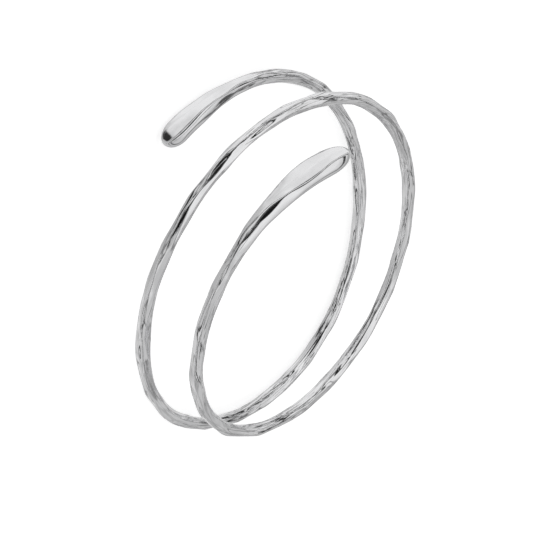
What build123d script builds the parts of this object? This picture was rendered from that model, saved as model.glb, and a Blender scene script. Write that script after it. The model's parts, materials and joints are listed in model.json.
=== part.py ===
from build123d import *
import os
import numpy as np
from scipy.spatial import ConvexHull

# Spiral coil bracelet: one silver rod, hammered all over and wound into a left-hand coil of
# a little over two turns, with both ends forged out into flattened drops.
# Millimetres and degrees. The coil is shaped about its own axis and then laid down on its side
# the way it rests by itself, with the origin on the surface below its middle.

# Coil
COIL_RADIUS = 32.0
TURN_RISE = 11.85
FIRST_ANGLE = -0.2
LAST_ANGLE = 755.5

# Rod, measured over its hammered ridges
ROD_DIAMETER = 2.84

# Forged drop ends, before their faces are hammered flat: the far end is the lower one when the
# coil lies on its side
FAR_DROP_WIDTH = 5.2
FAR_DROP_THICKNESS = 4.3
FAR_DROP_LENGTH = 25.0
FAR_NOSE_LENGTH = 3.6
NEAR_DROP_WIDTH = 5.85
NEAR_DROP_THICKNESS = 4.9
NEAR_DROP_LENGTH = 28.0
NEAR_NOSE_LENGTH = 5.3

# Hammered faces that run the length of the rod. Each sways to both sides as it runs, over a
# length of its own between the slowest and the fastest, with a finer sway on top.
FACE_ROWS = 7
FACE_DEPTH = 0.13
FACE_WANDER = 13.0
FACE_WANDER_LENGTH = 30.0
SLOWEST_WANDER = 0.8
FASTEST_WANDER = 1.3
FINE_WANDER_RATE = 2.7
FINE_WANDER_SHARE = 0.5

# Single hammer blows: on the faces, and rarer ones on the ridges between them. The depths are
# those of the deepest.
BLOW_DEPTH = 0.32
BLOW_SPACING = 7.0
BLOW_TILT = 18.0
BLOW_HOLLOW_RADIUS = 75.0
RIDGE_BLOW_DEPTH = 0.30
RIDGE_BLOW_SPACING = 14.0

# What makes the blows uneven, and the same at each build: shares of the golden ratio, counted
# on for each blow and for each row of faces from a first count.
#   use: blow, row, first
UNEVEN = {
    "face place": (7, 11, 0),
    "face tilt": (5, 3, 2),
    "face depth": (3, 1, 0),
    "ridge place": (5, 2, 0),
    "ridge depth": (1, 3, 0),
}

# Shallow hollows that the hammer left all over, longer along the rod than across it: the sum of
# waves that wind round the rod one way or the other. Each has so many waves around the section
# and a length along the rod, as a share of HOLLOW_LENGTH.
HOLLOW_DEPTH = 0.055
HOLLOW_LENGTH = 20.0
#   waves, length
HOLLOW_WAVES = [
    (3, 1.55),
    (4, -1.15),
    (5, 0.85),
    (6, -1.85),
    (7, 0.625),
    (2, -0.55),
]

# Fineness of the faceted skin
STATION_SPACING = 1.25
TIP_SPACING = 0.45
LINE_POINTS = 6001

# The bends of the coil, a row each 60 degrees: the radius as a share of COIL_RADIUS and the
# height along the axis as a share of TURN_RISE. A cubic B-spline follows the rows.
BEND_ANGLE = 60.0
FIRST_BEND_ANGLE = -60.0
#   radius, height
BENDS = [
    (0.995, -1.20),
    (1.015, -1.16),
    (1.015, -1.12),
    (0.995, -0.86),
    (1.030, -0.30),
    (1.030, -0.26),
    (1.055, -0.16),
    (1.055, -0.04),
    (1.065, 0.08),
    (1.025, 0.20),
    (0.980, 0.34),
    (0.945, 0.46),
    (0.940, 0.68),
    (0.940, 0.90),
    (0.945, 1.12),
    (0.975, 1.32),
]

# How a drop fades into the rod: the distance from the tip as a share of the drop's length, and
# how much of the drop's extra width and thickness is left there.
#   distance, fullness
DROP_FADE = [
    (0.00, 1.00),
    (0.26, 1.00),
    (0.36, 0.94),
    (0.46, 0.79),
    (0.56, 0.63),
    (0.66, 0.45),
    (0.76, 0.28),
    (0.88, 0.14),
    (1.00, 0.06),
    (1.16, 0.00),
]
FADE_EASE = 0.05

# Forged faces of the drops: end, centre as a share of the drop's length, direction around the
# section (0 outward, 90 up the coil's axis), depth as a share of the drop's thickness, and
# half-length as a share of the drop's length.
#   end, centre, direction, depth, half_length
DROP_FACES = [
    ("far", 0.32, -4.0, 0.250, 0.60),
    ("far", 0.62, -8.0, 0.150, 0.55),
    ("far", 0.46, 62.0, 0.060, 0.80),
    ("far", 0.34, 88.0, 0.075, 0.80),
    ("far", 0.40, 180.0, 0.120, 0.80),
    ("far", 0.42, -70.0, 0.040, 0.60),
    ("near", 0.44, -10.0, 0.160, 0.50),
    ("near", 0.25, -3.0, 0.315, 0.55),
    ("near", 0.58, 60.0, 0.105, 0.50),
    ("near", 0.17, 62.0, 0.085, 0.30),
    ("near", 0.40, 92.0, 0.050, 0.80),
    ("near", 0.40, 178.0, 0.150, 0.80),
    ("near", 0.40, -72.0, 0.050, 0.60),
]
# Each of these faces sways a little as it runs along the drop
DROP_WANDER = 7.0
DROP_WANDER_LENGTH = 13.0

# Blows that stand out: the angle along the coil, the direction around the section, and the
# depth and half-length as shares of the rod's diameter.
#   angle, direction, depth, half_length
STRONG_BLOWS = [
    (32.0, 44.0, 0.120, 2.2),
    (46.0, 52.0, 0.095, 2.0),
    (144.0, 150.0, 0.050, 1.0),
    (147.0, 174.0, 0.070, 2.8),
    (154.0, 121.0, 0.080, 3.2),
    (163.0, 172.0, 0.070, 2.8),
    (322.0, -2.0, 0.070, 3.5),
    (327.0, 60.0, 0.090, 3.4),
    (340.0, -8.0, 0.090, 3.4),
    (342.0, 36.0, 0.088, 2.9),
    (346.0, -10.0, 0.060, 5.0),
    (348.0, 58.0, 0.075, 6.0),
    (362.5, 34.0, 0.125, 2.3),
    (365.0, 60.0, 0.115, 3.6),
    (376.0, 0.0, 0.070, 4.0),
    (452.0, 92.0, 0.060, 1.6),
    (504.0, 120.0, 0.070, 2.6),
    (512.0, 176.0, 0.075, 3.2),
    (523.0, 124.0, 0.080, 3.2),
    (534.0, 146.0, 0.055, 1.0),
    (534.0, 172.0, 0.070, 2.8),
    (552.0, 128.0, 0.050, 1.2),
    (700.0, -6.0, 0.070, 3.4),
    (704.0, 56.0, 0.070, 3.4),
    (712.5, 22.0, 0.165, 2.2),
    (720.0, 31.0, 0.260, 2.0),
    (721.0, 64.0, 0.170, 2.4),
]
# A strong blow wipes out the scattered ones up to this angle from its direction, and smooths
# the shallow hollows away in its middle: the more, the tighter around the rod and along it.
CLEARED_ANGLE = 38.0
TIGHT_AROUND = 6
TIGHT_ALONG = 2

GOLDEN_RATIO = 0.6180339887
FULL_TURN = 360.0
LOOK_AHEAD_ANGLE = 0.01
LEAST_COSINE = 0.3


def b_spline(angle, shares):
    """Value at each angle of the uniform cubic B-spline through the bends' shares."""
    place = (angle - FIRST_BEND_ANGLE) / BEND_ANGLE
    row = np.clip(np.floor(place).astype(int), 1, len(shares) - 3)
    f = place - row
    weights = [
        (1 - f) ** 3 / 6,
        (3 * f**3 - 6 * f**2 + 4) / 6,
        (-3 * f**3 + 3 * f**2 + 3 * f + 1) / 6,
        f**3 / 6,
    ]
    return sum(w * shares[row - 1 + k] for k, w in enumerate(weights))


def centre_line(angle):
    """Points of the rod's centre line; it climbs as it runs clockwise, seen from above."""
    radius = COIL_RADIUS * b_spline(angle, np.array([b[0] for b in BENDS]))
    height = TURN_RISE * b_spline(angle, np.array([b[1] for b in BENDS]))
    turn = np.radians(angle)
    return np.stack([radius * np.cos(turn), -radius * np.sin(turn), height], axis=1)


def unit(vectors):
    return vectors / np.linalg.norm(vectors, axis=1, keepdims=True)


def section_axes(angle):
    """The outward and the axial direction of each cross-section, square to the centre line."""
    along = unit(centre_line(angle + LOOK_AHEAD_ANGLE) - centre_line(angle - LOOK_AHEAD_ANGLE))
    turn = np.radians(angle)
    outward = np.stack([np.cos(turn), -np.sin(turn), np.zeros_like(turn)], axis=1)
    outward = unit(outward - along * np.sum(outward * along, axis=1, keepdims=True))
    return outward, np.cross(along, outward)


def rod_length():
    """Angles along the centre line with the distance from the far tip to each."""
    angle = np.linspace(FIRST_ANGLE, LAST_ANGLE, LINE_POINTS)
    steps = np.linalg.norm(np.diff(centre_line(angle), axis=0), axis=1)
    return angle, np.concatenate([[0.0], np.cumsum(steps)])


ANGLES, DISTANCES = rod_length()
LENGTH = DISTANCES[-1]


def fullness(distance, drop_length):
    """Share of a drop's extra size that is left at a distance from its tip, eased smoothly."""
    places = [row[0] for row in DROP_FADE]
    shares = [row[1] for row in DROP_FADE]
    share = distance / drop_length
    shifts = np.linspace(-FADE_EASE, FADE_EASE, 5)
    return sum(np.interp(share + shift, places, shares) for shift in shifts) / len(shifts)


def rounding(s):
    """Rounding of both tips: 0 at a tip itself, 1 from its nose length on."""
    far_left = 1 - np.clip(s / FAR_NOSE_LENGTH, 0, 1)
    near_left = 1 - np.clip((LENGTH - s) / NEAR_NOSE_LENGTH, 0, 1)
    return np.sqrt(1 - far_left**2) * np.sqrt(1 - near_left**2)


def rod_share(s):
    """1 along the plain rod, falling to 0 in the drops."""
    return 1 - np.maximum(fullness(s, FAR_DROP_LENGTH), fullness(LENGTH - s, NEAR_DROP_LENGTH))


def half_sizes(s):
    """Half-thickness (outward) and half-width (along the axis) of the rod at distance s."""
    rod = ROD_DIAMETER / 2
    far_share = fullness(s, FAR_DROP_LENGTH)
    near_share = fullness(LENGTH - s, NEAR_DROP_LENGTH)
    thick = rod + far_share * (FAR_DROP_THICKNESS / 2 - rod)
    thick = thick + near_share * (NEAR_DROP_THICKNESS / 2 - rod)
    wide = rod + far_share * (FAR_DROP_WIDTH / 2 - rod) + near_share * (NEAR_DROP_WIDTH / 2 - rod)
    return thick * rounding(s), wide * rounding(s)


def support(s, direction):
    """Distance from the centre line to the plane that touches the bare section."""
    thick, wide = half_sizes(s)
    return np.hypot(thick * np.cos(direction), wide * np.sin(direction))


def golden_share(n):
    return (n * GOLDEN_RATIO) % 1.0


def uneven(use, n, row):
    """Share between 0 and 1 for blow n of a row of faces."""
    for_blow, for_row, first = UNEVEN[use]
    return golden_share(for_blow * n + for_row * row + first)


def face_direction(row, s):
    """Direction that a hammered face looks in; it wanders as it runs along the rod."""
    phase = 2 * np.pi * golden_share(3 * row + 1)
    rate = SLOWEST_WANDER + (FASTEST_WANDER - SLOWEST_WANDER) * golden_share(row + 5)
    turn = 2 * np.pi * rate * s / FACE_WANDER_LENGTH
    fine = FINE_WANDER_SHARE * np.sin(FINE_WANDER_RATE * turn + 2 * phase)
    sway = np.sin(turn + phase) + fine
    return np.radians(row * FULL_TURN / FACE_ROWS + FACE_WANDER * sway)


def ridge_direction(row, s):
    """Direction of the ridge between a face and the next one round."""
    beyond = face_direction((row + 1) % FACE_ROWS, s) + 2 * np.pi * (row + 1 == FACE_ROWS)
    return (face_direction(row, s) + beyond) / 2


def blow(s, direction, depth, rise):
    """A hammer blow: where it lands, its direction, its depth and how fast its bed rises."""
    bend = max(np.cos(direction), 0.0) / (2 * COIL_RADIUS)
    return s, direction, depth, bend + rise


def scattered_blows():
    """Blows along every face, and rarer ones that flatten the ridges between the faces."""
    blows = []
    rise = 1 / (2 * BLOW_HOLLOW_RADIUS)
    for row in range(FACE_ROWS):
        count = int(LENGTH / BLOW_SPACING)
        for n in range(count):
            s = (n + uneven("face place", n, row)) * LENGTH / count
            tilt = np.radians(BLOW_TILT * (uneven("face tilt", n, row) - 1 / 2))
            depth = FACE_DEPTH + BLOW_DEPTH * uneven("face depth", n, row)
            blows.append(blow(s, face_direction(row, s) + tilt, depth, rise))
        count = int(LENGTH / RIDGE_BLOW_SPACING)
        for n in range(count):
            s = (n + uneven("ridge place", n, row)) * LENGTH / count
            depth = RIDGE_BLOW_DEPTH * uneven("ridge depth", n, row)
            blows.append(blow(s, ridge_direction(row, s), depth, rise))
    first = FAR_DROP_LENGTH / 2
    last = LENGTH - NEAR_DROP_LENGTH / 2
    return [b for b in blows if first < b[0] < last and not cleared(b[0], b[1])]


def cleared(s, facing):
    """Whether a strong blow has wiped out a mark at this distance and direction."""
    for angle, direction, depth, half_length in STRONG_BLOWS:
        near = abs(s - np.interp(angle, ANGLES, DISTANCES)) < half_length * ROD_DIAMETER
        if near and np.cos(facing - np.radians(direction)) > np.cos(np.radians(CLEARED_ANGLE)):
            return True
    return False


def drop_blows():
    """The broad forged faces of the two drops."""
    blows = []
    for end, centre, direction, depth, half_length in DROP_FACES:
        length = FAR_DROP_LENGTH if end == "far" else NEAR_DROP_LENGTH
        thickness = FAR_DROP_THICKNESS if end == "far" else NEAR_DROP_THICKNESS
        s = centre * length if end == "far" else LENGTH - centre * length
        rise = depth * thickness / (half_length * length) ** 2
        blows.append((s, np.radians(direction), depth * thickness, rise))
    return blows


def drop_sway(n, s):
    """Small turn of a drop's face n as it runs along the drop."""
    turn = 2 * np.pi * (s / DROP_WANDER_LENGTH + golden_share(n))
    return np.radians(DROP_WANDER) * np.sin(turn)


def strong_blows():
    """The single blows that stand out along the rod."""
    blows = []
    for angle, direction, depth, half_length in STRONG_BLOWS:
        s = np.interp(angle, ANGLES, DISTANCES)
        rise = depth * ROD_DIAMETER / (half_length * ROD_DIAMETER) ** 2
        blows.append(blow(s, np.radians(direction), depth * ROD_DIAMETER, rise))
    return blows


def skin_planes(s):
    """The hammered faces at distance s: the direction of each and its distance from the centre."""
    eased = rounding(s)
    planes = []
    for row in range(FACE_ROWS):
        facing = face_direction(row, s)
        planes.append((facing, support(s, facing) - FACE_DEPTH * rod_share(s) * eased))
    for place, facing, depth, rise in scattered_blows() + strong_blows():
        level = support(s, facing) - depth * eased + rise * (s - place) ** 2
        planes.append((facing, level))
    for n, (place, facing, depth, rise) in enumerate(drop_blows()):
        swayed = facing + drop_sway(n, s)
        level = support(s, swayed) - depth * eased + rise * (s - place) ** 2
        planes.append((swayed, level))
    return planes


def unstruck(s, direction):
    """Share of the hollows that the strong blows have left: none in the middle of each."""
    left = 1.0
    for angle, facing, depth, half_length in STRONG_BLOWS:
        along = (s - np.interp(angle, ANGLES, DISTANCES)) / (half_length * ROD_DIAMETER)
        across = np.maximum(np.cos(direction - np.radians(facing)), 0.0)
        left = left * (1 - across**TIGHT_AROUND * np.exp(-((TIGHT_ALONG * along) ** 2)))
    return left


def hollow_depth(s, direction):
    """Depth of the shallow hollows: none on the ridge lines between them."""
    total = 0.0
    for n, (waves, length) in enumerate(HOLLOW_WAVES):
        phase = 2 * np.pi * golden_share(n + 1)
        winding = 2 * np.pi * s / (length * HOLLOW_LENGTH)
        total = total + np.sin(waves * direction + winding + phase)
    share = rod_share(s) * unstruck(s, direction) / np.sqrt(len(HOLLOW_WAVES))
    return HOLLOW_DEPTH * share * np.abs(total)


def skin_radius(s, direction):
    """Distance from the centre line to the hammered skin."""
    thick, wide = half_sizes(s)
    radius = 1 / np.hypot(np.cos(direction) / thick, np.sin(direction) / wide)
    for facing, level in skin_planes(s):
        slope = np.maximum(np.cos(direction - facing), LEAST_COSINE)
        radius = np.minimum(radius, level / slope)
    return radius - hollow_depth(s, direction)


def stations():
    """Distances of the cross-sections: close together on the noses, even between them."""
    curves = []
    for nose_length in (FAR_NOSE_LENGTH, NEAR_NOSE_LENGTH):
        count = int(np.ceil(nose_length / TIP_SPACING))
        curves.append(nose_length * (1 - np.cos(np.linspace(0, np.pi / 2, count + 1)))[1:])
    inner = LENGTH - FAR_NOSE_LENGTH - NEAR_NOSE_LENGTH
    count = int(np.ceil(inner / STATION_SPACING))
    middle = FAR_NOSE_LENGTH + inner * np.arange(1, count) / count
    return np.concatenate([curves[0], middle, LENGTH - curves[1][::-1]])


def skin_points():
    """Rings of skin points, two for each hammered face, and the two tips."""
    s = stations()
    angle = np.interp(s, DISTANCES, ANGLES)
    centre = centre_line(angle)
    outward, side = section_axes(angle)
    rings = []
    for row in range(FACE_ROWS):
        for direction in (face_direction(row, s), ridge_direction(row, s)):
            radius = skin_radius(s, direction)[:, None]
            out = np.cos(direction)[:, None] * outward
            rings.append(centre + radius * (out + np.sin(direction)[:, None] * side))
    tips = centre_line(np.array([FIRST_ANGLE, LAST_ANGLE]))
    return np.stack(rings, axis=1), tips


def skin_triangles(ring_count, sides):
    """Corner numbers of the skin's triangles; the two tips come after the rings."""
    first_tip = ring_count * sides
    last_tip = first_tip + 1
    triangles = []
    for j in range(sides):
        k = (j + 1) % sides
        triangles.append((first_tip, j, k))
        end = (ring_count - 1) * sides
        triangles.append((last_tip, end + k, end + j))
    for i in range(ring_count - 1):
        for j in range(sides):
            k = (j + 1) % sides
            a, b = i * sides + j, i * sides + k
            c, d = a + sides, b + sides
            triangles += [(a, d, b), (a, c, d)]
    return triangles


def centre_of_mass(points, triangles):
    corners = points[np.array(triangles)]
    volumes = np.einsum("ij,ij->i", corners[:, 0], np.cross(corners[:, 1], corners[:, 2])) / 6
    middles = corners.sum(axis=1) / 4
    return (volumes[:, None] * middles).sum(axis=0) / volumes.sum()


def resting_turn(points, middle):
    """Rotation that lays the coil on the three points it rests on, axis as upright as it can."""
    hull = ConvexHull(points)
    best = None
    for simplex, plane in zip(hull.simplices, hull.equations):
        normal = plane[:3]
        foot = middle - (normal @ middle + plane[3]) * normal
        a, b, c = points[simplex]
        signs = [normal @ np.cross(q - p, foot - p) for p, q in ((a, b), (b, c), (c, a))]
        if min(signs) < 0 < max(signs):
            continue
        if best is None or normal[2] < best[2]:
            best = normal
    down = np.array([0.0, 0.0, -1.0])
    axis = np.cross(best, down)
    cosine = best @ down
    cross = np.array([
        [0, -axis[2], axis[1]],
        [axis[2], 0, -axis[0]],
        [-axis[1], axis[0], 0],
    ])
    return np.eye(3) + cross + cross @ cross / (1 + cosine)


def coil_solid(points, triangles):
    """Closed solid with one flat face for each triangle of the skin."""
    corners = [Vector(*map(float, p)) for p in points]
    faces = [Face(Wire.make_polygon([corners[n] for n in t], close=True)) for t in triangles]
    return Solid(Shell(faces))


def main():
    rings, tips = skin_points()
    ring_count, sides, _ = rings.shape
    points = np.concatenate([rings.reshape(-1, 3), tips])
    triangles = skin_triangles(ring_count, sides)
    turn = resting_turn(points, centre_of_mass(points, triangles))
    laid = points @ turn.T
    low, high = laid.min(axis=0), laid.max(axis=0)
    origin = np.array([(low[0] + high[0]) / 2, (low[1] + high[1]) / 2, low[2]])
    solid = coil_solid(laid - origin, triangles)
    os.makedirs("parts", exist_ok=True)
    export_step(solid, "parts/coil_bangle.step")
    print("triangles", len(triangles), "rod length", round(LENGTH, 2))
    print("size", (high - low).round(3), "volume", round(solid.volume, 1))
    print("coil centre", (-origin).round(3), "coil axis", turn[:, 2].round(6))


main()
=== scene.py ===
import json

import bpy
import numpy as np
from mathutils import Matrix, Vector


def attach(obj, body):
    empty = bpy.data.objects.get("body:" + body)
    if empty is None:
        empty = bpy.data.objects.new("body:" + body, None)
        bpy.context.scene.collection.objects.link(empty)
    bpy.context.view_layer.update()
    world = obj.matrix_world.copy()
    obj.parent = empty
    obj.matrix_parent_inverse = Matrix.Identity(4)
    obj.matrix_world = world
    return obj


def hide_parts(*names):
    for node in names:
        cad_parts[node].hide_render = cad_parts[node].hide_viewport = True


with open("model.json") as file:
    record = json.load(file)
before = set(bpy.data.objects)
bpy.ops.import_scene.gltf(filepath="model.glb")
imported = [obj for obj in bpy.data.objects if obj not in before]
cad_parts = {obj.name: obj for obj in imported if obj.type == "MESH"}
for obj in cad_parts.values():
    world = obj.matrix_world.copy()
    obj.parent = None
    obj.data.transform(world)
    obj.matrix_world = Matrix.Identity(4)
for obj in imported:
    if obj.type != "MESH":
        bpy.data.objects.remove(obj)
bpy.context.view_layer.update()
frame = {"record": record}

# Spiral coil bracelet in hammered silver: the rod's fine skin, its finish, and the studio.
# The form below is in millimetres and degrees about the coil's own axis, as in the CAD model.

# Coil
COIL_RADIUS = 32.0
TURN_RISE = 11.85
FIRST_ANGLE = -0.2
LAST_ANGLE = 755.5

# Rod, measured over its hammered ridges
ROD_DIAMETER = 2.84

# Forged drop ends, before their faces are hammered flat: the far end is the lower one when the
# coil lies on its side
FAR_DROP_WIDTH = 5.2
FAR_DROP_THICKNESS = 4.3
FAR_DROP_LENGTH = 25.0
FAR_NOSE_LENGTH = 3.6
NEAR_DROP_WIDTH = 5.85
NEAR_DROP_THICKNESS = 4.9
NEAR_DROP_LENGTH = 28.0
NEAR_NOSE_LENGTH = 5.3

# Hammered faces that run the length of the rod. Each sways to both sides as it runs, over a
# length of its own between the slowest and the fastest, with a finer sway on top.
FACE_ROWS = 7
FACE_DEPTH = 0.13
FACE_WANDER = 13.0
FACE_WANDER_LENGTH = 30.0
SLOWEST_WANDER = 0.8
FASTEST_WANDER = 1.3
FINE_WANDER_RATE = 2.7
FINE_WANDER_SHARE = 0.5

# Single hammer blows: on the faces, and rarer ones on the ridges between them. The depths are
# those of the deepest.
BLOW_DEPTH = 0.32
BLOW_SPACING = 7.0
BLOW_TILT = 18.0
BLOW_HOLLOW_RADIUS = 75.0
RIDGE_BLOW_DEPTH = 0.30
RIDGE_BLOW_SPACING = 14.0

# What makes the blows and the rows of faces uneven, and the same at each run: shares of the
# golden ratio, counted on for each blow and for each row from a first count.
#   use: blow, row, first
UNEVEN = {
    "face place": (7, 11, 0),
    "face tilt": (5, 3, 2),
    "face depth": (3, 1, 0),
    "ridge place": (5, 2, 0),
    "ridge depth": (1, 3, 0),
    "sway phase": (0, 3, 1),
    "sway rate": (0, 1, 5),
}

# Shallow hollows that the hammer left all over, longer along the rod than across it: the sum of
# waves that wind round the rod one way or the other. Each has so many waves around the section
# and a length along the rod, as a share of HOLLOW_LENGTH.
HOLLOW_DEPTH = 0.055
HOLLOW_LENGTH = 20.0
#   waves, length
HOLLOW_WAVES = [
    (3, 1.55),
    (4, -1.15),
    (5, 0.85),
    (6, -1.85),
    (7, 0.625),
    (2, -0.55),
]

# Points that the length of the centre line is measured between
LINE_POINTS = 6001

# The bends of the coil, a row each 60 degrees: the radius as a share of COIL_RADIUS and the
# height along the axis as a share of TURN_RISE. A cubic B-spline follows the rows.
BEND_ANGLE = 60.0
FIRST_BEND_ANGLE = -60.0
#   radius, height
BENDS = [
    (0.995, -1.20),
    (1.015, -1.16),
    (1.015, -1.12),
    (0.995, -0.86),
    (1.030, -0.30),
    (1.030, -0.26),
    (1.055, -0.16),
    (1.055, -0.04),
    (1.065, 0.08),
    (1.025, 0.20),
    (0.980, 0.34),
    (0.945, 0.46),
    (0.940, 0.68),
    (0.940, 0.90),
    (0.945, 1.12),
    (0.975, 1.32),
]

# How a drop fades into the rod: the distance from the tip as a share of the drop's length, and
# how much of the drop's extra width and thickness is left there.
#   distance, fullness
DROP_FADE = [
    (0.00, 1.00),
    (0.26, 1.00),
    (0.36, 0.94),
    (0.46, 0.79),
    (0.56, 0.63),
    (0.66, 0.45),
    (0.76, 0.28),
    (0.88, 0.14),
    (1.00, 0.06),
    (1.16, 0.00),
]
# The fade is the mean of this many, shifted by up to this share to either side
FADE_COUNT = 5
FADE_EASE = 0.05

# Forged faces of the drops: end, centre as a share of the drop's length, direction around the
# section (0 outward, 90 up the coil's axis), depth as a share of the drop's thickness, and
# half-length as a share of the drop's length.
#   end, centre, direction, depth, half_length
DROP_FACES = [
    ("far", 0.32, -4.0, 0.250, 0.60),
    ("far", 0.62, -8.0, 0.150, 0.55),
    ("far", 0.46, 62.0, 0.060, 0.80),
    ("far", 0.34, 88.0, 0.075, 0.80),
    ("far", 0.40, 180.0, 0.120, 0.80),
    ("far", 0.42, -70.0, 0.040, 0.60),
    ("near", 0.44, -10.0, 0.160, 0.50),
    ("near", 0.25, -3.0, 0.315, 0.55),
    ("near", 0.58, 60.0, 0.105, 0.50),
    ("near", 0.17, 62.0, 0.085, 0.30),
    ("near", 0.40, 92.0, 0.050, 0.80),
    ("near", 0.40, 178.0, 0.150, 0.80),
    ("near", 0.40, -72.0, 0.050, 0.60),
]
# Each of these faces sways a little as it runs along the drop
DROP_WANDER = 7.0
DROP_WANDER_LENGTH = 13.0

# Blows that stand out: the angle along the coil, the direction around the section, and the
# depth and half-length as shares of the rod's diameter.
#   angle, direction, depth, half_length
STRONG_BLOWS = [
    (32.0, 44.0, 0.120, 2.2),
    (46.0, 52.0, 0.095, 2.0),
    (144.0, 150.0, 0.050, 1.0),
    (147.0, 174.0, 0.070, 2.8),
    (154.0, 121.0, 0.080, 3.2),
    (163.0, 172.0, 0.070, 2.8),
    (322.0, -2.0, 0.070, 3.5),
    (327.0, 60.0, 0.090, 3.4),
    (340.0, -8.0, 0.090, 3.4),
    (342.0, 36.0, 0.088, 2.9),
    (346.0, -10.0, 0.060, 5.0),
    (348.0, 58.0, 0.075, 6.0),
    (362.5, 34.0, 0.125, 2.3),
    (365.0, 60.0, 0.115, 3.6),
    (376.0, 0.0, 0.070, 4.0),
    (452.0, 92.0, 0.060, 1.6),
    (504.0, 120.0, 0.070, 2.6),
    (512.0, 176.0, 0.075, 3.2),
    (523.0, 124.0, 0.080, 3.2),
    (534.0, 146.0, 0.055, 1.0),
    (534.0, 172.0, 0.070, 2.8),
    (552.0, 128.0, 0.050, 1.2),
    (700.0, -6.0, 0.070, 3.4),
    (704.0, 56.0, 0.070, 3.4),
    (712.5, 22.0, 0.165, 2.2),
    (720.0, 31.0, 0.260, 2.0),
    (721.0, 64.0, 0.170, 2.4),
]
# A strong blow wipes out the scattered ones up to this angle from its direction, and smooths
# the shallow hollows away in its middle: the more, the tighter around the rod and along it.
CLEARED_ANGLE = 38.0
TIGHT_AROUND = 6
TIGHT_ALONG = 2

GOLDEN_RATIO = 0.6180339887
FULL_TURN = 360.0
LOOK_AHEAD_ANGLE = 0.01
LEAST_COSINE = 0.3


def b_spline(angle, shares):
    """Value at each angle of the uniform cubic B-spline through the bends' shares."""
    place = (angle - FIRST_BEND_ANGLE) / BEND_ANGLE
    row = np.clip(np.floor(place).astype(int), 1, len(shares) - 3)
    f = place - row
    weights = [
        (1 - f) ** 3 / 6,
        (3 * f**3 - 6 * f**2 + 4) / 6,
        (-3 * f**3 + 3 * f**2 + 3 * f + 1) / 6,
        f**3 / 6,
    ]
    return sum(w * shares[row - 1 + k] for k, w in enumerate(weights))


def centre_line(angle):
    """Points of the rod's centre line; it climbs as it runs clockwise, seen from above."""
    radius = COIL_RADIUS * b_spline(angle, np.array([b[0] for b in BENDS]))
    height = TURN_RISE * b_spline(angle, np.array([b[1] for b in BENDS]))
    turn = np.radians(angle)
    return np.stack([radius * np.cos(turn), -radius * np.sin(turn), height], axis=1)


def unit(vectors):
    return vectors / np.linalg.norm(vectors, axis=1, keepdims=True)


def section_axes(angle):
    """The outward and the axial direction of each cross-section, square to the centre line."""
    along = unit(centre_line(angle + LOOK_AHEAD_ANGLE) - centre_line(angle - LOOK_AHEAD_ANGLE))
    turn = np.radians(angle)
    outward = np.stack([np.cos(turn), -np.sin(turn), np.zeros_like(turn)], axis=1)
    outward = unit(outward - along * np.sum(outward * along, axis=1, keepdims=True))
    return outward, np.cross(along, outward)


def rod_length():
    """Angles along the centre line with the distance from the far tip to each."""
    angle = np.linspace(FIRST_ANGLE, LAST_ANGLE, LINE_POINTS)
    steps = np.linalg.norm(np.diff(centre_line(angle), axis=0), axis=1)
    return angle, np.concatenate([[0.0], np.cumsum(steps)])


ANGLES, DISTANCES = rod_length()
LENGTH = DISTANCES[-1]


def fullness(distance, drop_length):
    """Share of a drop's extra size that is left at a distance from its tip, eased smoothly."""
    places = [row[0] for row in DROP_FADE]
    shares = [row[1] for row in DROP_FADE]
    share = distance / drop_length
    shifts = np.linspace(-FADE_EASE, FADE_EASE, FADE_COUNT)
    return sum(np.interp(share + shift, places, shares) for shift in shifts) / len(shifts)


def rounding(s):
    """Rounding of both tips: 0 at a tip itself, 1 from its nose length on."""
    far_left = 1 - np.clip(s / FAR_NOSE_LENGTH, 0, 1)
    near_left = 1 - np.clip((LENGTH - s) / NEAR_NOSE_LENGTH, 0, 1)
    return np.sqrt(1 - far_left**2) * np.sqrt(1 - near_left**2)


def rod_share(s):
    """1 along the plain rod, falling to 0 in the drops."""
    return 1 - np.maximum(fullness(s, FAR_DROP_LENGTH), fullness(LENGTH - s, NEAR_DROP_LENGTH))


def half_sizes(s):
    """Half-thickness (outward) and half-width (along the axis) of the rod at distance s."""
    rod = ROD_DIAMETER / 2
    far_share = fullness(s, FAR_DROP_LENGTH)
    near_share = fullness(LENGTH - s, NEAR_DROP_LENGTH)
    thick = rod + far_share * (FAR_DROP_THICKNESS / 2 - rod)
    thick = thick + near_share * (NEAR_DROP_THICKNESS / 2 - rod)
    wide = rod + far_share * (FAR_DROP_WIDTH / 2 - rod) + near_share * (NEAR_DROP_WIDTH / 2 - rod)
    return thick * rounding(s), wide * rounding(s)


def support(s, direction):
    """Distance from the centre line to the plane that touches the bare section."""
    thick, wide = half_sizes(s)
    return np.hypot(thick * np.cos(direction), wide * np.sin(direction))


def golden_share(n):
    return (n * GOLDEN_RATIO) % 1.0


def uneven(use, n, row):
    """Share between 0 and 1 for blow n of a row of faces."""
    for_blow, for_row, first = UNEVEN[use]
    return golden_share(for_blow * n + for_row * row + first)


def face_direction(row, s):
    """Direction that a hammered face looks in; it wanders as it runs along the rod."""
    phase = 2 * np.pi * uneven("sway phase", 0, row)
    rate = SLOWEST_WANDER + (FASTEST_WANDER - SLOWEST_WANDER) * uneven("sway rate", 0, row)
    turn = 2 * np.pi * rate * s / FACE_WANDER_LENGTH
    fine = FINE_WANDER_SHARE * np.sin(FINE_WANDER_RATE * turn + 2 * phase)
    sway = np.sin(turn + phase) + fine
    return np.radians(row * FULL_TURN / FACE_ROWS + FACE_WANDER * sway)


def ridge_direction(row, s):
    """Direction of the ridge between a face and the next one round."""
    beyond = face_direction((row + 1) % FACE_ROWS, s) + 2 * np.pi * (row + 1 == FACE_ROWS)
    return (face_direction(row, s) + beyond) / 2


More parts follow.
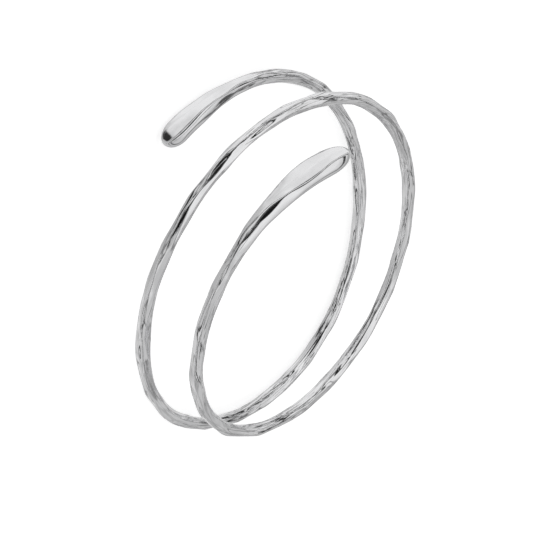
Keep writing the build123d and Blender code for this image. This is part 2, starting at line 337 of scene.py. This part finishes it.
def blow(s, direction, depth, rise):
    """A hammer blow: where it lands, its direction, its depth and how fast its bed rises."""
    bend = max(np.cos(direction), 0.0) / (2 * COIL_RADIUS)
    return s, direction, depth, bend + rise


def scattered_blows():
    """Blows along every face, and rarer ones that flatten the ridges between the faces."""
    blows = []
    rise = 1 / (2 * BLOW_HOLLOW_RADIUS)
    for row in range(FACE_ROWS):
        count = int(LENGTH / BLOW_SPACING)
        for n in range(count):
            s = (n + uneven("face place", n, row)) * LENGTH / count
            tilt = np.radians(BLOW_TILT * (uneven("face tilt", n, row) - 1 / 2))
            depth = FACE_DEPTH + BLOW_DEPTH * uneven("face depth", n, row)
            blows.append(blow(s, face_direction(row, s) + tilt, depth, rise))
        count = int(LENGTH / RIDGE_BLOW_SPACING)
        for n in range(count):
            s = (n + uneven("ridge place", n, row)) * LENGTH / count
            depth = RIDGE_BLOW_DEPTH * uneven("ridge depth", n, row)
            blows.append(blow(s, ridge_direction(row, s), depth, rise))
    first = FAR_DROP_LENGTH / 2
    last = LENGTH - NEAR_DROP_LENGTH / 2
    return [b for b in blows if first < b[0] < last and not cleared(b[0], b[1])]


def cleared(s, facing):
    """Whether a strong blow has wiped out a mark at this distance and direction."""
    for angle, direction, depth, half_length in STRONG_BLOWS:
        near = abs(s - np.interp(angle, ANGLES, DISTANCES)) < half_length * ROD_DIAMETER
        if near and np.cos(facing - np.radians(direction)) > np.cos(np.radians(CLEARED_ANGLE)):
            return True
    return False


def drop_blows():
    """The broad forged faces of the two drops."""
    blows = []
    for end, centre, direction, depth, half_length in DROP_FACES:
        length = FAR_DROP_LENGTH if end == "far" else NEAR_DROP_LENGTH
        thickness = FAR_DROP_THICKNESS if end == "far" else NEAR_DROP_THICKNESS
        s = centre * length if end == "far" else LENGTH - centre * length
        rise = depth * thickness / (half_length * length) ** 2
        blows.append((s, np.radians(direction), depth * thickness, rise))
    return blows


def drop_sway(n, s):
    """Small turn of a drop's face n as it runs along the drop."""
    turn = 2 * np.pi * (s / DROP_WANDER_LENGTH + golden_share(n))
    return np.radians(DROP_WANDER) * np.sin(turn)


def strong_blows():
    """The single blows that stand out along the rod."""
    blows = []
    for angle, direction, depth, half_length in STRONG_BLOWS:
        s = np.interp(angle, ANGLES, DISTANCES)
        rise = depth * ROD_DIAMETER / (half_length * ROD_DIAMETER) ** 2
        blows.append(blow(s, np.radians(direction), depth * ROD_DIAMETER, rise))
    return blows


def skin_planes(s):
    """The hammered faces at distance s: the direction of each and its distance from the centre."""
    eased = rounding(s)
    planes = []
    for row in range(FACE_ROWS):
        facing = face_direction(row, s)
        planes.append((facing, support(s, facing) - FACE_DEPTH * rod_share(s) * eased))
    for place, facing, depth, rise in scattered_blows() + strong_blows():
        level = support(s, facing) - depth * eased + rise * (s - place) ** 2
        planes.append((facing, level))
    for n, (place, facing, depth, rise) in enumerate(drop_blows()):
        swayed = facing + drop_sway(n, s)
        level = support(s, swayed) - depth * eased + rise * (s - place) ** 2
        planes.append((swayed, level))
    return planes


def unstruck(s, direction):
    """Share of the hollows that the strong blows have left: none in the middle of each."""
    left = 1.0
    for angle, facing, depth, half_length in STRONG_BLOWS:
        along = (s - np.interp(angle, ANGLES, DISTANCES)) / (half_length * ROD_DIAMETER)
        across = np.maximum(np.cos(direction - np.radians(facing)), 0.0)
        left = left * (1 - across**TIGHT_AROUND * np.exp(-((TIGHT_ALONG * along) ** 2)))
    return left


def hollow_depth(s, direction):
    """Depth of the shallow hollows: none on the ridge lines between them."""
    total = 0.0
    for n, (waves, length) in enumerate(HOLLOW_WAVES):
        phase = 2 * np.pi * golden_share(n + 1)
        winding = 2 * np.pi * s / (length * HOLLOW_LENGTH)
        total = total + np.sin(waves * direction + winding + phase)
    share = rod_share(s) * unstruck(s, direction) / np.sqrt(len(HOLLOW_WAVES))
    return HOLLOW_DEPTH * share * np.abs(total)


# Fine skin: the same form with many more corners, on rings around the rod. Across each hammered
# face they stand at these shares of the way from one ridge to the next.
RING_COUNT = 1420
FACE_PLACES = (0.0, 0.06, 0.15, 0.26, 0.38, 0.5, 0.62, 0.74, 0.85, 0.94)
RING_SIDES = FACE_ROWS * len(FACE_PLACES)
# The rings are spread evenly between two points this far from the tips, and those on the last
# NEAR_NOSE_LENGTH of each end are then drawn towards its tip, down to the least gap.
TIP_GAP = 0.02
LEAST_TIP_GAP = 0.003
# How widely the ridges are worn round, on the rod and on the drops. It fades to the least value
# at the tips. The largest power keeps the exponentials of the soft minimum within bounds.
ROD_SOFTNESS = 0.052
DROP_SOFTNESS = 0.18
LEAST_SOFTNESS = 0.0001
LARGEST_POWER = 60.0

# A millimetre in the scene's metres
MM = 0.001
WHITE = (1, 1, 1, 1)
BLACK = (0, 0, 0, 1)


def fine_radius(s, direction):
    """The hammered skin's radius with its ridges worn round: a soft minimum over the faces."""
    softness = DROP_SOFTNESS + (ROD_SOFTNESS - DROP_SOFTNESS) * rod_share(s)
    softness = softness * rounding(s) + LEAST_SOFTNESS
    thick, wide = half_sizes(s)
    bare = 1 / np.hypot(np.cos(direction) / thick, np.sin(direction) / wide)
    total = np.ones_like(bare)
    for facing, level in skin_planes(s):
        slope = np.maximum(np.cos(direction - facing), LEAST_COSINE)
        power = (bare - level / slope) / softness
        total += np.exp(np.clip(power, -LARGEST_POWER, LARGEST_POWER))
    return bare - softness * np.log(total) - hollow_depth(s, direction)


def ring_places():
    """Distances of the rings along the rod: even, and closer together on the noses."""
    s = TIP_GAP + (LENGTH - 2 * TIP_GAP) * np.linspace(0, 1, RING_COUNT)
    from_tip = np.minimum(s, LENGTH - s)
    share = np.clip(from_tip / NEAR_NOSE_LENGTH, 0, 1)
    closer = NEAR_NOSE_LENGTH * share * share
    drawn = np.where(s < LENGTH / 2, closer, LENGTH - closer)
    s = np.where(from_tip < NEAR_NOSE_LENGTH, drawn, s)
    return np.clip(s, LEAST_TIP_GAP, LENGTH - LEAST_TIP_GAP)


def corner_directions(s):
    """Directions around the section of the corners of each ring, face by face."""
    directions = []
    begin = ridge_direction(FACE_ROWS - 1, s) - 2 * np.pi
    for row in range(FACE_ROWS):
        end = ridge_direction(row, s)
        directions += [begin + share * (end - begin) for share in FACE_PLACES]
        begin = end
    return np.stack(directions, axis=1)


def skin_corners(s, directions):
    """Corners of the rings and then of the two tips, in the coil's own frame."""
    angle = np.interp(s, DISTANCES, ANGLES)
    centre = centre_line(angle)[:, None, :]
    outward, side = section_axes(angle)
    radius = fine_radius(np.repeat(s[:, None], RING_SIDES, axis=1), directions)[..., None]
    out = np.cos(directions)[..., None] * outward[:, None, :]
    out = out + np.sin(directions)[..., None] * side[:, None, :]
    tips = centre_line(np.array([FIRST_ANGLE, LAST_ANGLE]))
    return np.concatenate([(centre + radius * out).reshape(-1, 3), tips])


def rod_map(s, directions):
    """Distance along the rod and around it at each corner, in millimetres: what places marks."""
    along = np.repeat(s[:, None], RING_SIDES, axis=1)
    rings = np.stack([along, directions * ROD_DIAMETER / 2], axis=2).reshape(-1, 2)
    return np.concatenate([rings, rings[[0, -1]]])


def skin_faces():
    """Corner numbers of the faces between the rings and of the fans at the two tips."""
    faces = []
    first_tip = RING_COUNT * RING_SIDES
    last_tip = first_tip + 1
    last_ring = first_tip - RING_SIDES
    for ring in range(0, last_ring, RING_SIDES):
        for j in range(RING_SIDES):
            a, b = ring + j, ring + (j + 1) % RING_SIDES
            faces.append((a, a + RING_SIDES, b + RING_SIDES, b))
    for j in range(RING_SIDES):
        k = (j + 1) % RING_SIDES
        faces.append((first_tip, j, k))
        faces.append((last_tip, last_ring + k, last_ring + j))
    return faces


# The coil as it lies: the record's wrist mount gives its centre and its axis
wrist = next(m for m in frame["record"]["mounts"] if m["name"] == "wrist")
coil_centre = np.array(wrist["pos_m"])
coil_axis = np.array(wrist["axis"]) / np.linalg.norm(wrist["axis"])
coil_turn = np.array(Vector((0, 0, 1)).rotation_difference(Vector(coil_axis)).to_matrix())


def laid(points):
    """Points of the coil's own frame, in millimetres, as they lie in the scene, in metres."""
    return np.asarray(points) @ coil_turn.T * MM + coil_centre


def silver_coil():
    """The fine skin as one smooth object, with the rod's map as its UV map."""
    s = ring_places()
    directions = corner_directions(s)
    mesh = bpy.data.meshes.new("silver_coil")
    mesh.from_pydata(laid(skin_corners(s, directions)).tolist(), [], skin_faces())
    mesh.update()
    mesh.polygons.foreach_set("use_smooth", [True] * len(mesh.polygons))
    corner_numbers = np.empty(len(mesh.loops), dtype=int)
    mesh.loops.foreach_get("vertex_index", corner_numbers)
    uv_layer = mesh.uv_layers.new(name="rod")
    uv_layer.data.foreach_set("uv", rod_map(s, directions)[corner_numbers].ravel())
    coil = bpy.data.objects.new("silver_coil", mesh)
    bpy.context.scene.collection.objects.link(coil)
    return coil


# A noise texture seldom leaves this range, and its values gather in the middle
NOISE_LOW = 0.3
NOISE_MIDDLE = 0.5
NOISE_HIGH = 0.7

# Sockets of a Mix node for each type of value: share, first value, second value and result
MIX_SOCKETS = {
    "FLOAT": (0, 2, 3, 0),
    "RGBA": (0, 6, 7, 2),
}


class ShaderNodes:
    """Adds nodes to a shader. An input takes a plain value or the output of another node."""

    def __init__(self, tree):
        self.tree = tree

    def add(self, kind):
        return self.tree.nodes.new(kind)

    def feed(self, socket, value):
        if isinstance(value, bpy.types.NodeSocket):
            self.tree.links.new(value, socket)
        else:
            socket.default_value = value

    def math(self, operation, first, second=0.0):
        node = self.add("ShaderNodeMath")
        node.operation = operation
        self.feed(node.inputs[0], first)
        self.feed(node.inputs[1], second)
        return node.outputs[0]

    def ranged(self, value, begin, end, least=0.0, most=1.0, kind="SMOOTHSTEP"):
        """Goes from least to most as the value goes from begin to end, and no further."""
        node = self.add("ShaderNodeMapRange")
        node.interpolation_type = kind
        self.feed(node.inputs["Value"], value)
        self.feed(node.inputs["From Min"], begin)
        self.feed(node.inputs["From Max"], end)
        self.feed(node.inputs["To Min"], least)
        self.feed(node.inputs["To Max"], most)
        return node.outputs["Result"]

    def noise(self, vector, scale, detail):
        node = self.add("ShaderNodeTexNoise")
        self.feed(node.inputs["Vector"], vector)
        self.feed(node.inputs["Scale"], scale)
        self.feed(node.inputs["Detail"], detail)
        return node.outputs[0]

    def mixed(self, kind, share, first, second):
        """The first value where the share is 0, the second where it is 1."""
        node = self.add("ShaderNodeMix")
        node.data_type = kind
        *inputs, result = MIX_SOCKETS[kind]
        for number, value in zip(inputs, (share, first, second)):
            self.feed(node.inputs[number], value)
        return node.outputs[result]

    def bump(self, height, depth, below=None):
        """Normal of the surface with a height of 0 to 1, worth so many millimetres, on it."""
        node = self.add("ShaderNodeBump")
        self.feed(node.inputs["Height"], height)
        self.feed(node.inputs["Distance"], depth * MM)
        if below is not None:
            self.feed(node.inputs["Normal"], below)
        return node.outputs["Normal"]


# Finish of the silver, in millimetres on the rod's map. First the soft unevenness of hammered
# metal. The drops, which are smoother, have this share of it.
CLOUD_SIZE = 1.1
CLOUD_LENGTH = 2.5 * CLOUD_SIZE
CLOUD_DETAIL = 3.0
CLOUD_HEIGHT = 0.045
DROP_CLOUDS = 0.3
# Polishing marks that run along the rod. They make it more or less rough too.
MARK_WIDTH = 0.12
MARK_LENGTH = 2.4
MARK_DETAIL = 2.0
MARK_HEIGHT = 0.0022
LEAST_ROUGHNESS = 0.045
MOST_ROUGHNESS = 0.14
# Fine creases that the hammer left along the rod, dented in by bump and darkened in colour as
# painted shade: the lines where a stretched noise is this close to its middle, in patches where a
# broader noise is high
CREASE_SPACING = 0.9
CREASE_LENGTH = 12.0
CREASE_DETAIL = 0.6
CREASE_CLOSENESS = 0.022
CREASE_DEPTH = 0.012
CREASE_PAINTED_SHADE = 0.50
PATCH_WIDTH = 1.8
PATCH_LENGTH = 4 * PATCH_WIDTH
PATCH_DETAIL = 0.0
PATCH_BEGIN = 0.33
PATCH_FULL = 0.46
# Length at the neck of each drop over which the rod's finish turns into the drop's
FAR_NECK_LENGTH = 6.0
NEAR_NECK_LENGTH = 8.0
# Colour: broad clouds of darker and lighter silver
TINT_SIZE = 3 * CLOUD_SIZE
TINT_LENGTH = 6 * CLOUD_SIZE
TINT_DETAIL = 4.0
TINT_DARK = 0.30
TINT_LIGHT = 0.55
SILVER_LIGHT = (0.89, 0.89, 0.90, 1)
SILVER_DARK = (0.76, 0.76, 0.77, 1)


def rod_noise(nodes, spot, width, length, detail):
    """Noise at a spot on the rod's map, of a width around the rod and a length along it."""
    stretch = nodes.add("ShaderNodeMapping")
    nodes.feed(stretch.inputs["Vector"], spot)
    nodes.feed(stretch.inputs["Scale"], (1 / length, 1 / width, 1))
    return nodes.noise(stretch.outputs["Vector"], 1.0, detail)


def plain_rod(nodes, spot):
    """1 along the plain rod, 0 on the drops."""
    split = nodes.add("ShaderNodeSeparateXYZ")
    nodes.feed(split.inputs[0], spot)
    along = split.outputs[0]
    near_neck = LENGTH - NEAR_DROP_LENGTH
    past_far = nodes.ranged(along, FAR_DROP_LENGTH - FAR_NECK_LENGTH, FAR_DROP_LENGTH)
    before_near = nodes.ranged(along, near_neck + NEAR_NECK_LENGTH, near_neck)
    return nodes.math("MULTIPLY", past_far, before_near)


def creases(nodes, spot, on_rod):
    """1 in the middle of a crease, 0 beside it."""
    lines = rod_noise(nodes, spot, CREASE_SPACING, CREASE_LENGTH, CREASE_DETAIL)
    off_line = nodes.math("ABSOLUTE", nodes.math("SUBTRACT", lines, NOISE_MIDDLE))
    line = nodes.math("SUBTRACT", 1.0, nodes.ranged(off_line, 0.0, CREASE_CLOSENESS))
    broad = rod_noise(nodes, spot, PATCH_WIDTH, PATCH_LENGTH, PATCH_DETAIL)
    patch = nodes.math("MULTIPLY", on_rod, nodes.ranged(broad, PATCH_BEGIN, PATCH_FULL))
    return nodes.math("MULTIPLY", line, patch)


def silver_tint_and_painted_shade(nodes, spot, crease):
    """Colour of the silver: broad clouds of darker and lighter tone, with painted shade darkening
    it along the creases.
    """
    ramp = nodes.add("ShaderNodeValToRGB")
    nodes.feed(ramp.inputs["Fac"], rod_noise(nodes, spot, TINT_SIZE, TINT_LENGTH, TINT_DETAIL))
    dark, light = ramp.color_ramp.elements
    dark.position = TINT_DARK
    dark.color = SILVER_DARK
    light.position = TINT_LIGHT
    light.color = SILVER_LIGHT
    # Painted shade: the silver's colour is darkened towards black along the creases
    share = nodes.math("MULTIPLY", crease, CREASE_PAINTED_SHADE)
    return nodes.mixed("RGBA", share, ramp.outputs["Color"], BLACK)


def polished_silver():
    """Polished silver: hammered, creased and marked along the rod, with painted shade in the
    creases, smoother on the drops.
    """
    material = bpy.data.materials.new("polished_silver")
    material.use_nodes = True
    nodes = ShaderNodes(material.node_tree)
    shader = material.node_tree.nodes["Principled BSDF"]
    around = nodes.add("ShaderNodeUVMap")
    around.uv_map = "rod"
    spot = around.outputs["UV"]
    on_rod = plain_rod(nodes, spot)
    crease = creases(nodes, spot, on_rod)
    marks = rod_noise(nodes, spot, MARK_WIDTH, MARK_LENGTH, MARK_DETAIL)
    clouds = rod_noise(nodes, spot, CLOUD_SIZE, CLOUD_LENGTH, CLOUD_DETAIL)
    share = nodes.math("ADD", nodes.math("MULTIPLY", on_rod, 1 - DROP_CLOUDS), DROP_CLOUDS)
    uneven_skin = nodes.bump(nodes.math("MULTIPLY", clouds, share), CLOUD_HEIGHT)
    creased = nodes.bump(nodes.math("MULTIPLY", crease, -1.0), CREASE_DEPTH, uneven_skin)
    rough = nodes.ranged(
        marks, NOISE_LOW, NOISE_HIGH, LEAST_ROUGHNESS, MOST_ROUGHNESS, kind="LINEAR"
    )
    shader.inputs["Metallic"].default_value = 1.0
    nodes.feed(shader.inputs["Roughness"], rough)
    nodes.feed(shader.inputs["Base Color"], silver_tint_and_painted_shade(nodes, spot, crease))
    nodes.feed(shader.inputs["Normal"], nodes.bump(marks, MARK_HEIGHT, creased))
    return material


# Camera, in the coil's own frame and in degrees: the azimuth and the elevation that it looks from,
# and its roll about its view. The coil's centre lies this far right of the middle of the view,
# this far below it and this far ahead, in coil radii.
CAMERA_AZIMUTH = 15.291
CAMERA_ELEVATION = 32.811
CAMERA_ROLL = -119.820
CAMERA_SHIFT = (0.0832, 0.0075)
CAMERA_DISTANCE = 15.504
# Focal length and width of the photo in its pixels, and the camera's sensor in millimetres
LENS_PIXELS = 2720.0
PHOTO_PIXELS = 533.0
SENSOR_WIDTH = 36.0
# Nearest and furthest that it sees, in metres
CLIP_START = 0.01
CLIP_END = 10.0


def camera_axes():
    """The camera's right, down and forward directions in the coil's own frame."""
    azimuth, elevation, roll = np.radians([CAMERA_AZIMUTH, CAMERA_ELEVATION, CAMERA_ROLL])
    level = np.array([-np.sin(azimuth), np.cos(azimuth), 0.0])
    ground = np.array([np.cos(azimuth), np.sin(azimuth), 0.0])
    forward = -np.cos(elevation) * ground - np.array([0.0, 0.0, np.sin(elevation)])
    below = np.cross(forward, level)
    right = np.cos(roll) * level + np.sin(roll) * below
    return np.array([right, np.cross(forward, right), forward])


VIEW_AXES = camera_axes()
# The same directions in the scene
RIGHT, DOWN, FORWARD = VIEW_AXES @ coil_turn.T


def photo_camera():
    """Camera at the photograph's angle to the coil."""
    ahead = np.array([*CAMERA_SHIFT, CAMERA_DISTANCE])
    place = laid(-COIL_RADIUS * ahead @ VIEW_AXES)
    data = bpy.data.cameras.new("camera")
    data.sensor_width = SENSOR_WIDTH
    data.lens = SENSOR_WIDTH * LENS_PIXELS / PHOTO_PIXELS
    data.clip_start = CLIP_START
    data.clip_end = CLIP_END
    camera = bpy.data.objects.new("camera", data)
    axes = Matrix((RIGHT, -DOWN, -FORWARD)).transposed()
    camera.matrix_world = Matrix.Translation(place) @ axes.to_4x4()
    bpy.context.scene.collection.objects.link(camera)
    bpy.context.scene.camera = camera


# Surroundings that the silver reflects: a light tent of brighter and darker panels with gaps
# between them. Directions are along the camera's own right, down and forward axes, angles in
# degrees. A panel is at its full brightness up to one angle and gone at the other.
TENT_LIGHT = 0.69
TENT_MOTTLE = 0.17
MOTTLE_SCALE = 3.0
MOTTLE_DETAIL = 2.0
#   right, down, forward, full, gone, brightness
TENT_PANELS = [
    (0.38, 0.80, 0.45, 32.0, 50.0, 0.60),
    (0.18, -0.95, 0.25, 28.0, 44.0, 0.88),
    (-0.90, -0.30, 0.05, 20.0, 38.0, 0.50),
    (0.35, -0.80, -0.50, 14.0, 30.0, 0.82),
    (0.78, 0.02, -0.62, 28.0, 42.0, 0.88),
    (0.50, 0.72, -0.48, 10.0, 26.0, 0.58),
    (-0.80, -0.52, -0.30, 9.0, 14.0, 0.03),
    (-0.68, -0.66, -0.34, 5.0, 10.0, 0.03),
]
# The gaps are thin circles round a direction: the angle from it, half the width and the
# brightness. A gap is whole up to one angle from GAP_MIDDLE, and beyond the other only this
# share of it is left.
#   right, down, forward, angle, half_width, brightness, whole, faded, far_share
TENT_GAPS = [
    (0.00, 0.00, 1.00, 40.0, 4.5, 0.30, 96.0, 112.0, 1.00),
    (0.729, 0.418, -0.542, 104.0, 5.5, 0.03, 96.0, 112.0, 0.30),
    (0.729, 0.418, -0.542, 74.0, 7.0, 0.04, 96.0, 112.0, 0.30),
    (0.729, 0.418, -0.542, 53.0, 6.5, 0.05, 96.0, 112.0, 0.35),
    (0.729, 0.418, -0.542, 57.0, 15.0, 0.008, 28.0, 40.0, 0.04),
]
GAP_MIDDLE = (0.20, -0.20, -0.96)
# Share of a gap's width that has its full effect
GAP_CORE = 0.5
# What the camera itself sees behind the floor is plain white
BACKDROP_STRENGTH = 1.05


def angle_from(nodes, around, x, y, z):
    """Angle between the direction looked up and one along the camera's axes."""
    direction = x * RIGHT + y * DOWN + z * FORWARD
    dot = nodes.add("ShaderNodeVectorMath")
    dot.operation = "DOT_PRODUCT"
    nodes.feed(dot.inputs[0], around)
    nodes.feed(dot.inputs[1], tuple(direction / np.linalg.norm(direction)))
    return nodes.math("ARCCOSINE", dot.outputs["Value"])


def fade(nodes, angle, full, gone, left=0.0):
    """1 up to the full angle, and only what is left from the gone angle on."""
    return nodes.ranged(angle, np.radians(gone), np.radians(full), left)


def tent_light(nodes, around):
    """Brightness of the tent in each direction."""
    mottle = nodes.noise(around, MOTTLE_SCALE, MOTTLE_DETAIL)
    least, most = TENT_LIGHT - TENT_MOTTLE, TENT_LIGHT + TENT_MOTTLE
    light = nodes.ranged(mottle, NOISE_LOW, NOISE_HIGH, least, most, kind="LINEAR")
    for *direction, full, gone, brightness in TENT_PANELS:
        angle = angle_from(nodes, around, *direction)
        light = nodes.mixed("FLOAT", fade(nodes, angle, full, gone), light, brightness)
    middle = angle_from(nodes, around, *GAP_MIDDLE)
    for *direction, angle, half_width, brightness, whole, faded, far_share in TENT_GAPS:
        off = nodes.math("SUBTRACT", angle_from(nodes, around, *direction), np.radians(angle))
        across = fade(nodes, nodes.math("ABSOLUTE", off), GAP_CORE * half_width, half_width)
        share = nodes.math("MULTIPLY", fade(nodes, middle, whole, faded, far_share), across)
        light = nodes.mixed("FLOAT", share, light, brightness)
    return light


def tent_world():
    """World that shows the tent to the silver and plain white to the camera."""
    world = bpy.data.worlds.new("light_tent")
    world.use_nodes = True
    world.node_tree.nodes.clear()
    nodes = ShaderNodes(world.node_tree)
    around = nodes.add("ShaderNodeTexCoord").outputs["Generated"]
    tent = nodes.add("ShaderNodeBackground")
    nodes.feed(tent.inputs["Color"], tent_light(nodes, around))
    backdrop = nodes.add("ShaderNodeBackground")
    backdrop.inputs["Color"].default_value = WHITE
    backdrop.inputs["Strength"].default_value = BACKDROP_STRENGTH
    seen = nodes.add("ShaderNodeLightPath")
    both = nodes.add("ShaderNodeMixShader")
    nodes.feed(both.inputs[0], seen.outputs["Is Camera Ray"])
    nodes.feed(both.inputs[1], tent.outputs[0])
    nodes.feed(both.inputs[2], backdrop.outputs[0])
    output = nodes.add("ShaderNodeOutputWorld")
    nodes.feed(output.inputs["Surface"], both.outputs[0])
    bpy.context.scene.world = world


# Floor: how far it reaches from the middle in metres, its colour, and a glow that keeps it pale
FLOOR_REACH = 3.0
FLOOR_COLOUR = (0.9, 0.9, 0.9, 1)
FLOOR_GLOW = 0.62


def pale_floor():
    """Plain pale floor that the silver does not reflect."""
    r = FLOOR_REACH
    mesh = bpy.data.meshes.new("floor")
    mesh.from_pydata([(-r, -r, 0), (r, -r, 0), (r, r, 0), (-r, r, 0)], [], [(0, 1, 2, 3)])
    floor = bpy.data.objects.new("floor", mesh)
    bpy.context.scene.collection.objects.link(floor)
    material = bpy.data.materials.new("pale_floor")
    material.use_nodes = True
    shader = material.node_tree.nodes["Principled BSDF"]
    shader.inputs["Base Color"].default_value = FLOOR_COLOUR
    shader.inputs["Roughness"].default_value = 1.0
    shader.inputs["Specular IOR Level"].default_value = 0.0
    shader.inputs["Emission Color"].default_value = WHITE
    shader.inputs["Emission Strength"].default_value = FLOOR_GLOW
    mesh.materials.append(material)
    floor.visible_glossy = False


coil = silver_coil()
coil.data.materials.append(polished_silver())
photo_camera()
tent_world()
pale_floor()

bpy.context.scene.view_settings.view_transform = "Standard"

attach(coil, "root")
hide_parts("coil_bangle")
